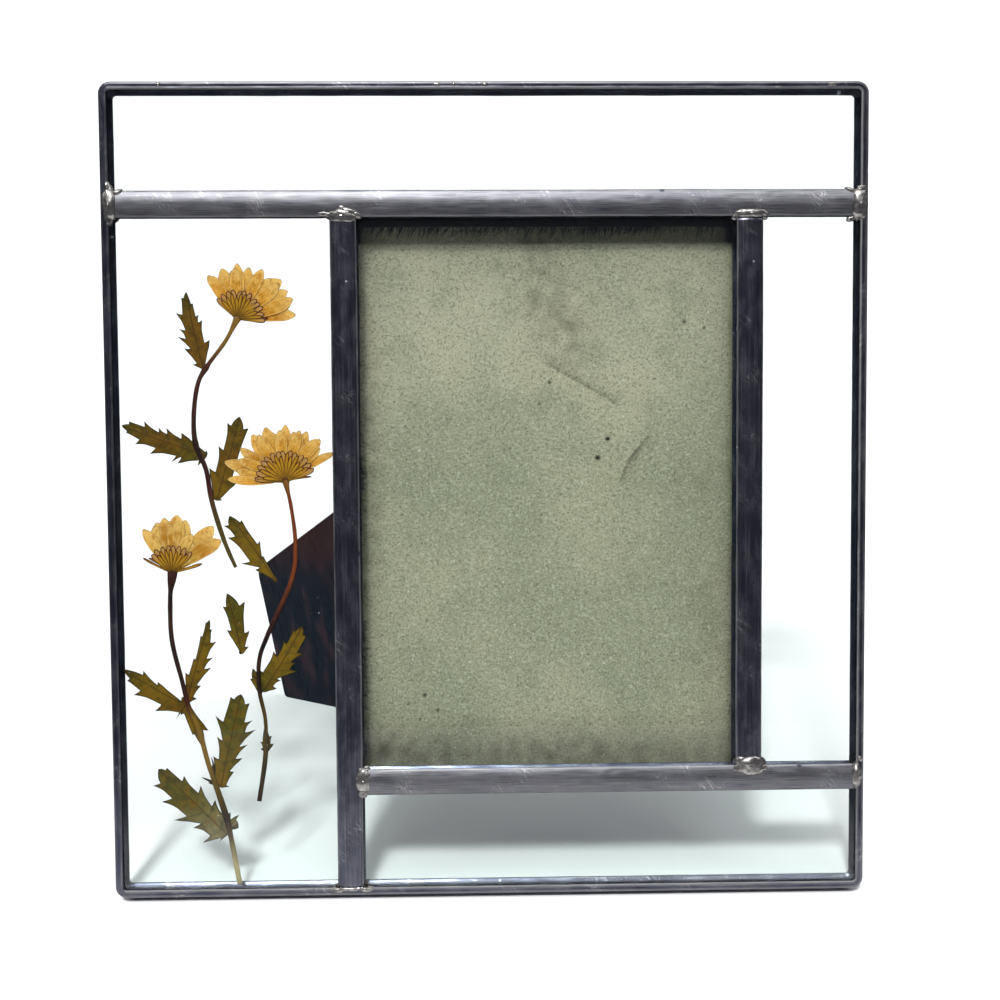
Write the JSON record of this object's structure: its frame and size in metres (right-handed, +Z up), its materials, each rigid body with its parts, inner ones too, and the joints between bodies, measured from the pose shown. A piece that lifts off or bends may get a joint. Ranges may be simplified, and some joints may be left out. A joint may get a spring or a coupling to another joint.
{
  "type": "pressed flower frame",
  "caption": "Standing pressed flower frame: soldered metal cames hold dried daisies between glass beside a picture opening, with a folding easel leg behind.",
  "frame": {"origin": "centre of the bounding box's base, on the surface the frame stands on", "axes": "+X to the viewer's right, +Y from the flower side to the easel leg, +Z up; the frame leans back 13 degrees from +Z"},
  "size_m": [0.2286, 0.1508, 0.2403],
  "materials": {
    "came": "dark patina on zinc came, half gloss, lengthwise scratches",
    "solder": "lumpy tin solder, greyed",
    "glass": "clear, faintly blue-green",
    "petals": "dry translucent golden petals, papery",
    "leaf": "dry olive-brown leaf, matt",
    "stem": "dry dark red-brown stem",
    "greyboard": "bare grey-green greyboard, speckled with fibres",
    "velvet": "black flocked velvet",
    "lining_paper": "dark brown glossy lining paper on card",
    "hinge": "stamped sheet steel, dull nickel"
  },
  "bodies": {
    "frame": {"perimeter_came": "came", "top_rail_came": "came", "bottom_rail_came": "came", "left_stile_came": "came", "right_stile_came": "came", "back_strip_left": "came", "back_strip_right": "came", "back_strip_bottom": "came", "solder_top_rail_left": "solder", "solder_top_rail_right": "solder", "solder_bottom_rail_right": "solder", "solder_left_stile_bottom": "solder", "solder_left_stile_top": "solder", "solder_right_stile_top": "solder", "solder_bottom_rail_left": "solder", "solder_right_stile_bottom": "solder", "solder_top_rail_left_rear": "solder", "solder_top_rail_right_rear": "solder", "solder_bottom_rail_right_rear": "solder", "solder_left_stile_bottom_rear": "solder", "flower_glass_front": "glass", "flower_glass_back": "glass", "picture_glass_front": "glass", "picture_glass_back": "glass", "top_glass_front": "glass", "top_glass_back": "glass", "right_glass_front": "glass", "right_glass_back": "glass", "bottom_glass_front": "glass", "bottom_glass_back": "glass", "stem_a": "stem", "stem_b": "stem", "stem_c": "stem", "flower_head_a": "petals", "flower_head_b": "petals", "flower_head_c": "petals", "leaf_a_upper": "leaf", "leaf_a_left": "leaf", "leaf_a_right": "leaf", "leaf_b": "leaf", "bract_b": "leaf", "leaf_c_upper": "leaf", "leaf_c_left": "leaf", "leaf_c_right": "leaf", "leaf_c_lower": "leaf", "loose_leaf_upper": "leaf", "loose_leaf_lower": "leaf", "card_back": "greyboard", "card_back_velvet": "velvet", "hinge_leaf_board": "hinge", "hinge_pin": "hinge"},
    "easel_leg": {"leg_board": "lining_paper", "leg_velvet": "velvet", "hinge_leaf_leg": "hinge"}
  },
  "joints": [
    {"name": "easel_leg_hinge", "type": "hinge", "parent": "frame", "child": "easel_leg", "pos_m": [0.0408, -0.02284, 0.15127], "axis": [-0.7071, 0.1591, 0.689], "range_deg": [0, 35.8]}
  ]
}
